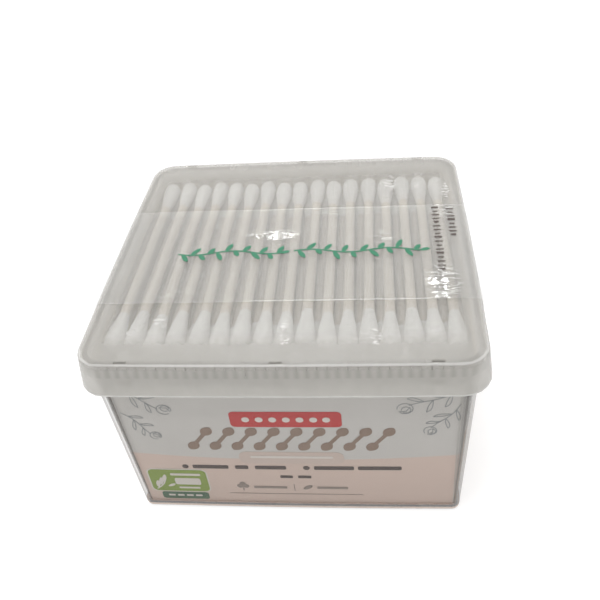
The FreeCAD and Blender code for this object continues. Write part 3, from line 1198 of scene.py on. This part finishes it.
def part_middles(node: str) -> list[Vector]:
    """The box middle of each loose part of a CAD node.

    Args:
        node: name of the CAD node.

    Returns:
        The middles, from left to right.
    """
    mesh = bmesh.new()
    mesh.from_mesh(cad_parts[node].data)
    bmesh.ops.remove_doubles(mesh, verts=mesh.verts, dist=0.002 * MM)
    seen: set[bmesh.types.BMVert] = set()
    middles = []
    for start in mesh.verts:
        if start in seen:
            continue
        seen.add(start)
        queue, part = [start], []
        while queue:
            vert = queue.pop()
            part.append(vert.co.copy())
            others = [edge.other_vert(vert) for edge in vert.link_edges]
            queue += [other for other in others if other not in seen]
            seen.update(others)
        low = Vector([min(p[axis] for p in part) for axis in range(3)])
        high = Vector([max(p[axis] for p in part) for axis in range(3)])
        middles.append((low + high) / 2)
    mesh.free()
    return sorted(middles, key=lambda p: p.x)


# Seal band


@dataclass
class Band:
    """The film over the lid with its wrinkles and its print."""
    inks: dict[InkColour, bpy.types.Material]
    thickness: float = 0.04
    drop: float = 0.09
    wave: float = 0.05
    step_along: float = 0.7
    step_across: float = 0.6
    turn_height: float = 30.0
    creases: tuple[tuple[float, float, float, float, float], ...] = (
        (-5.0, 4.2, 8.0, 2.2, 0.8), (39.6, -17.0, 4.2, 6.5, 0.8), (25.0, 2.2, 4.2, 3.0, 0.25),
        (43.0, 14.0, 3.0, 4.0, 0.25), (-30.0, -20.0, 9.0, 2.0, 0.10), (10.0, 14.0, 6.0, 2.0, 0.10))

    def __post_init__(self) -> None:
        """Reads the band's outer line from the CAD film."""
        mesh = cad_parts["seal_band"].data
        self.low, self.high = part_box("seal_band")
        middle = Vector((0, 0, 0.040))
        line = set()
        for face in mesh.polygons:
            outward = Vector((face.center.x, 0, face.center.z)) - middle
            if abs(face.normal.y) < 0.5 and face.normal.dot(outward) > 0:
                for number in face.vertices:
                    point = mesh.vertices[number].co
                    line.add((round(point.x, 6), round(point.z, 6)))
        floor_z = self.low.z + 0.01 * MM
        foot_x = max(x for x, z in line if z <= floor_z) - 0.01 * MM
        outer = [p for p in line if p[1] > floor_z or abs(p[0]) > foot_x]
        self.line = sorted(outer, key=lambda p: -math.atan2(p[1] - self.turn_height * MM, p[0]))
        self.runs = [0.0]
        for near, far in zip(self.line, self.line[1:]):
            self.runs.append(self.runs[-1] + math.dist(near, far))

    def on_line(self, run: float) -> tuple[Vector, Vector]:
        """The place and outward direction at a distance along the outer line.

        Args:
            run: metres from the left foot.

        Returns:
            The point and the unit normal, both in the xz plane.
        """
        number = max(n for n in range(len(self.runs) - 1) if self.runs[n] <= run + 1e-9)
        (x0, z0), (x1, z1) = self.line[number], self.line[number + 1]
        share = (run - self.runs[number]) / (self.runs[number + 1] - self.runs[number])
        flat = Vector((x1 - x0, 0, z1 - z0)).normalized()
        return Vector((x0 + (x1 - x0) * share, 0, z0 + (z1 - z0) * share)), Vector((-flat.z, 0, flat.x))

    def rise(self, x: float, y: float, z: float) -> float:
        """How far the film stands off its tight line.

        Args:
            x: place along the lid's front.
            y: place in depth.
            z: height.

        Returns:
            The distance; this and the places are in metres.
        """
        u, v = x / MM, y / MM
        top = 1.0 if z > self.high.z - 1.0 * MM else 0.35
        height = self.wave * (1 + noise.noise(Vector((u * 0.10, v * 0.22, z * 60)))) * top
        for cx, cy, rx, ry, depth in self.creases:
            reach = math.exp(-((u - cx) / rx) ** 2 - ((v - cy) / ry) ** 2)
            if reach > 0.02:
                fold = 1 - abs(noise.noise(Vector((u * 0.45 + cx, v * 0.9, cy))))
                fine = 1 - abs(noise.noise(Vector((u * 1.1, v * 1.6 + cx, 3.0))))
                height += depth * reach * (0.6 * fold ** 3 + 0.4 * fine ** 3) * top
        return height * MM

    def on_top(self, lift: float) -> Surface:
        """The film's top surface, a little lifted.

        Args:
            lift: how far, in millimetres.

        Returns:
            A function from a place on the lid to the point on it.
        """
        def surface(x: float, y: float) -> Vector:
            """The point on the film over this place."""
            base = self.high.z - self.drop * MM
            return Vector((x, y, base + self.rise(x, y, self.high.z) + (self.thickness + lift) * MM))

        return surface

    def build(self) -> list[bpy.types.Object]:
        """Builds the film and the print on it.

        Returns:
            The film and its two prints.
        """
        total = self.runs[-1]
        along = round(total / MM / self.step_along)
        across = round((self.high.y - self.low.y) / MM / self.step_across)
        deselect()
        bpy.ops.mesh.primitive_grid_add(x_subdivisions=along, y_subdivisions=across, size=1.0)
        piece = bpy.context.object
        piece.name = "film_band"
        for vert in piece.data.vertices:
            point, out = self.on_line((vert.co.x + 0.5) * total)
            y = self.low.y + (vert.co.y + 0.5) * (self.high.y - self.low.y)
            vert.co = Vector((point.x, y, point.z)) + out * (self.rise(point.x, y, point.z) - self.drop * MM)
        piece.data.update()
        smooth(piece, 60)
        apply_modifier(piece, "SOLIDIFY", thickness=self.thickness * MM, offset=1.0)
        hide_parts("seal_band")
        film = Film(front_y=self.low.y / MM, back_y=self.high.y / MM, wrinkles=self.creases).make()
        return [dress(piece, film), self.garland(), self.dashes()]

    def garland(self) -> bpy.types.Object:
        """A green vine across the film: a wavy stem with leaves on both sides.

        Returns:
            The printed vine.
        """
        def stem(x: float) -> float:
            """The stem's place in depth."""
            return -3.6 + 0.8 * math.sin(x / 3.4)

        flats = []
        for start, end in ((-31.0, -2.5), (1.0, 35.0)):
            steps = round((end - start) / 0.8)
            path = [(start + (end - start) * n / steps, stem(start + (end - start) * n / steps))
                    for n in range(steps + 1)]
            flats.append(flat_line(path, 0.5))
            for number in range(round((end - start) / 2.4)):
                x = start + 1.2 + 2.4 * number
                up = 1 if number % 2 else -1
                size = 3.3 + 0.7 * math.sin(1.7 * number + start)
                flats.append(flat_leaf(x, stem(x), up * (58 - 8 * math.sin(number)), size, 1.45, 10))
            flats.append(flat_leaf(end - 0.2, stem(end - 0.2), 15, 2.8, 1.3, 10))
        vine = drape(flats, "film_garland", self.on_top(0.05))
        return dress(vine, self.inks[InkColour.LEAF_GREEN])

    def dashes(self) -> bpy.types.Object:
        """Two rows of plain dark dashes near the film's right edge.

        Returns:
            The printed dashes.
        """
        flats = []
        for x, start, count in ((40.0, -13.0, 17), (44.2, 2.0, 8)):
            for number in range(count):
                y = start + 1.75 * number
                wide = 1.0 if number % 3 else 0.7
                flats.append(flat_bar(x - wide, y, x + wide, y + (0.45 if number % 4 else 0.8)))
        return dress(drape(flats, "film_dashes", self.on_top(0.05)), self.inks[InkColour.DARK])


# Stage


@dataclass(frozen=True)
class Stage:
    """Pale floor, soft lights and the camera."""
    camera_place: tuple[float, float, float] = (24.205, -158.455, 182.024)
    yaw: float = -0.13405
    pitch: float = 0.62484
    roll: float = -0.10462
    focal_px: float = 727.34
    middle_px: Point = (300.0, 230.0)
    frame_px: float = 600.0
    sensor: float = 36.0
    floor_size: float = 6.0

    def camera(self) -> None:
        """Creates the camera at the photograph's viewing angle."""
        data = bpy.data.cameras.new("camera")
        data.sensor_width = self.sensor
        data.lens = self.focal_px / self.frame_px * self.sensor
        data.shift_x = (self.frame_px / 2 - self.middle_px[0]) / self.frame_px
        data.shift_y = (self.middle_px[1] - self.frame_px / 2) / self.frame_px
        data.clip_start = 0.01
        camera = bpy.data.objects.new("camera", data)
        bpy.context.scene.collection.objects.link(camera)
        flat = math.cos(self.pitch)
        forward = Vector((math.sin(self.yaw) * flat, math.cos(self.yaw) * flat, -math.sin(self.pitch)))
        right = Vector((math.cos(self.yaw), -math.sin(self.yaw), 0.0))
        up = right.cross(forward)
        across = math.cos(self.roll) * right + math.sin(self.roll) * up
        upright = math.cos(self.roll) * up - math.sin(self.roll) * right
        turn = Matrix((across, upright, -forward)).transposed()
        camera.matrix_world = Matrix.Translation(Vector(self.camera_place) * MM) @ turn.to_4x4()
        bpy.context.scene.camera = camera

    def floor(self) -> None:
        """Creates the floor, which shows white to the camera apart from the shadow on it."""
        deselect()
        bpy.ops.mesh.primitive_plane_add(size=self.floor_size, location=(0, 0, -0.0001))
        floor = bpy.context.object
        floor.name = "floor"
        tree = Tree("floor_white")
        tree.set(Base_Color=(0.82, 0.82, 0.82), Roughness=0.9, Specular_IOR_Level=0.1)
        shown = tree.add("ShaderNodeBsdfPrincipled", inputs={
            "Base Color": (0.42, 0.42, 0.42, 1), "Roughness": 0.95, "Specular IOR Level": 0.0,
            "Emission Color": (1, 1, 1, 1), "Emission Strength": 0.70})
        path = [tree.add("ShaderNodeLightPath", output=kind)
                for kind in ("Is Camera Ray", "Is Glossy Ray", "Is Transmission Ray")]
        plain = Wire(tree, tree.shader.outputs[0])
        seen = path[0].most(path[1]).most(path[2])
        mix = tree.add("ShaderNodeMixShader", inputs={0: seen, 1: plain, 2: shown})
        tree.feed(tree.surface, mix)
        floor.data.materials.append(tree.material)

    def world(self) -> None:
        """Soft even light from all round, and white where it is seen."""
        world = bpy.data.worlds.new("studio")
        bpy.context.scene.world = world
        world.use_nodes = True
        nodes, links = world.node_tree.nodes, world.node_tree.links
        background = nodes["Background"]
        background.inputs["Color"].default_value = (1, 1, 1, 1)
        background.inputs["Strength"].default_value = 0.66
        shown = nodes.new("ShaderNodeBackground")
        shown.inputs["Color"].default_value = (1, 1, 1, 1)
        path = nodes.new("ShaderNodeLightPath")
        seen = path.outputs["Is Camera Ray"]
        for kind in ("Is Glossy Ray", "Is Transmission Ray"):
            most = nodes.new("ShaderNodeMath")
            most.operation = "MAXIMUM"
            links.new(seen, most.inputs[0])
            links.new(path.outputs[kind], most.inputs[1])
            seen = most.outputs[0]
        mix = nodes.new("ShaderNodeMixShader")
        links.new(seen, mix.inputs[0])
        links.new(background.outputs[0], mix.inputs[1])
        links.new(shown.outputs[0], mix.inputs[2])
        links.new(mix.outputs[0], nodes["World Output"].inputs["Surface"])

    def light(self, name: str, place: tuple[float, float, float], width: float, depth: float, power: float
              ) -> None:
        """A soft rectangular lamp that points at the box.

        Args:
            name: its name.
            place: where it stands, in metres.
            width: its longer side in metres.
            depth: its other side in metres.
            power: its power in watts.
        """
        data = bpy.data.lights.new(name, "AREA")
        data.shape = "RECTANGLE"
        data.size = width
        data.size_y = depth
        data.energy = power
        lamp = bpy.data.objects.new(name, data)
        lamp.location = place
        lamp.rotation_euler = (Vector((0, 0, 0.04)) - Vector(place)).to_track_quat("-Z", "Y").to_euler()
        bpy.context.scene.collection.objects.link(lamp)

    def build(self) -> None:
        """Sets the whole stage."""
        self.camera()
        self.floor()
        self.world()
        self.light("key", (-0.20, -0.16, 0.86), 0.35, 0.35, 1.3)
        self.light("rear", (-0.05, 0.38, 0.88), 0.26, 0.26, 2.9)
        self.light("strip", (0.0, -0.26, 0.66), 0.70, 0.05, 1.1)
        bpy.context.scene.view_settings.view_transform = "Standard"


def main() -> None:
    """Builds the pieces in order and reports each one."""
    logging.basicConfig(level=logging.INFO)
    inks = {shade: Ink(shade).make() for shade in InkColour}
    Stage().build()
    pieces = Shells().build()
    pieces += Liner(inks).build()
    pieces += Swabs(Cotton().make(), PaperStick().make()).build()
    pieces += Band(inks).build()
    for piece in pieces:
        log.info("%s: %d faces", piece.name, len(piece.data.polygons))


if __name__ == "__main__":
    main()
